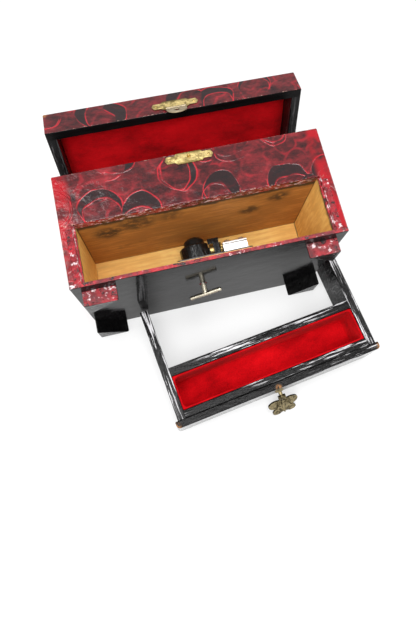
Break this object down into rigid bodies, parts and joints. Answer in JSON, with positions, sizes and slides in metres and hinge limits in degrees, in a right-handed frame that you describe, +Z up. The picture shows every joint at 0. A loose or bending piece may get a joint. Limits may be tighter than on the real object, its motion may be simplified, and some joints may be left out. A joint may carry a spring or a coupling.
{
  "type": "musical jewelry box",
  "caption": "Lacquered musical jewelry box lying on its back: hinged lid ajar, velvet compartment, wind-up movement and a removed U-shaped drawer.",
  "frame": {"origin": "under the middle of the whole, on the surface that the box and its drawer lie on", "axes": "+X to the right, +Y away from the drawer towards the lid, +Z up from the surface; the case lies on its back, so its front faces up and its lid faces +Y"},
  "size_m": [0.2328, 0.2526, 0.1482],
  "materials": {
    "red_black_lacquer": "high gloss swirled red and black lacquer on wood",
    "black_lacquer": "high gloss black lacquer on wood",
    "plywood": "bare, with brown stains",
    "red_velvet": "short velvet pile",
    "clasp_brass": "polished, a little worn",
    "antique_brass": "dull, aged",
    "black_steel": "gloss black",
    "bright_steel": "bright plate",
    "movement_brass": "satin"
  },
  "bodies": {
    "case": {"case_side_left": "red_black_lacquer", "case_side_right": "red_black_lacquer", "case_back": "black_lacquer", "case_front_panel": "red_black_lacquer", "compartment_floor": "plywood", "stop_panel": "plywood", "bottom_board": "black_lacquer", "compartment_lining": "red_velvet", "front_feet": "red_black_lacquer", "rear_feet": "black_lacquer", "hinge_case_leaves": "clasp_brass", "hinge_case_screws": "clasp_brass", "hinge_pins": "clasp_brass", "catch_plate": "clasp_brass", "catch_rivets": "clasp_brass", "catch_stud": "clasp_brass", "movement_block": "plywood", "bedplate": "bright_steel", "bedplate_screws": "bright_steel", "spring_housing": "black_steel", "housing_cap": "black_steel", "housing_bracket": "black_steel", "cylinder_bracket": "black_steel", "comb": "bright_steel", "comb_riser": "bright_steel", "comb_screws": "bright_steel", "governor_housing": "bright_steel", "governor_caps": "bright_steel"},
    "lid": {"lid_front_rail": "red_black_lacquer", "lid_back_rail": "red_black_lacquer", "lid_side_rails": "red_black_lacquer", "lid_top_panel": "red_black_lacquer", "lid_lining": "red_velvet", "hinge_lid_leaves": "clasp_brass", "hinge_lid_screws": "clasp_brass", "hasp_plate": "clasp_brass", "hasp_rivets": "clasp_brass", "hasp_pin": "clasp_brass"},
    "hasp": {"hasp_tongue": "clasp_brass"},
    "key": {"winding_arbor": "bright_steel", "winding_key": "antique_brass"},
    "cylinder": {"cylinder": "movement_brass", "cylinder_gear": "movement_brass"},
    "pinion": {"governor_pinion": "movement_brass"},
    "drawer": {"drawer_front": "black_lacquer", "drawer_arm_left": "black_lacquer", "drawer_arm_right": "black_lacquer", "tray_bottom": "black_lacquer", "tray_front_rail": "black_lacquer", "tray_back_rail": "black_lacquer", "tray_lining": "red_velvet", "pull_rosette": "antique_brass"},
    "pull": {"butterfly_pull": "antique_brass"}
  },
  "joints": [
    {"name": "lid_hinge", "type": "hinge", "parent": "case", "child": "lid", "pos_m": [-0.01489, 0.07388, 0.00312], "axis": [-1, 0, 0], "range_deg": [-16, 84]},
    {"name": "hasp_swing", "type": "hinge", "parent": "lid", "child": "hasp", "pos_m": [-0.01489, 0.10829, 0.14049], "axis": [-1, 0, 0], "range_deg": [-25, 95]},
    {"name": "key_wind", "type": "hinge", "parent": "case", "child": "key", "pos_m": [-0.02089, -0.01591, 0.07546], "axis": [0, 0.9987, 0.0507], "continuous": true},
    {"name": "cylinder_turn", "type": "hinge", "parent": "case", "child": "cylinder", "pos_m": [-0.00929, 0.00966, 0.07676], "axis": [1, 0, 0], "continuous": true},
    {"name": "pinion_turn", "type": "hinge", "parent": "case", "child": "pinion", "pos_m": [-0.00929, 0.00926, 0.08475], "axis": [1, 0, 0], "continuous": true},
    {"name": "drawer_slide", "type": "slide", "parent": "case", "child": "drawer", "axis": [0.1357, -0.9907, 0], "range_m": [0, 0.09]},
    {"name": "pull_swing", "type": "hinge", "parent": "drawer", "child": "pull", "pos_m": [0.0265, -0.11344, 0.021], "axis": [-0.9907, -0.1357, 0], "range_deg": [-15, 95]}
  ],
  "couplings": [
    {"joint": "pinion_turn", "follows": "cylinder_turn", "ratio": -3}
  ]
}
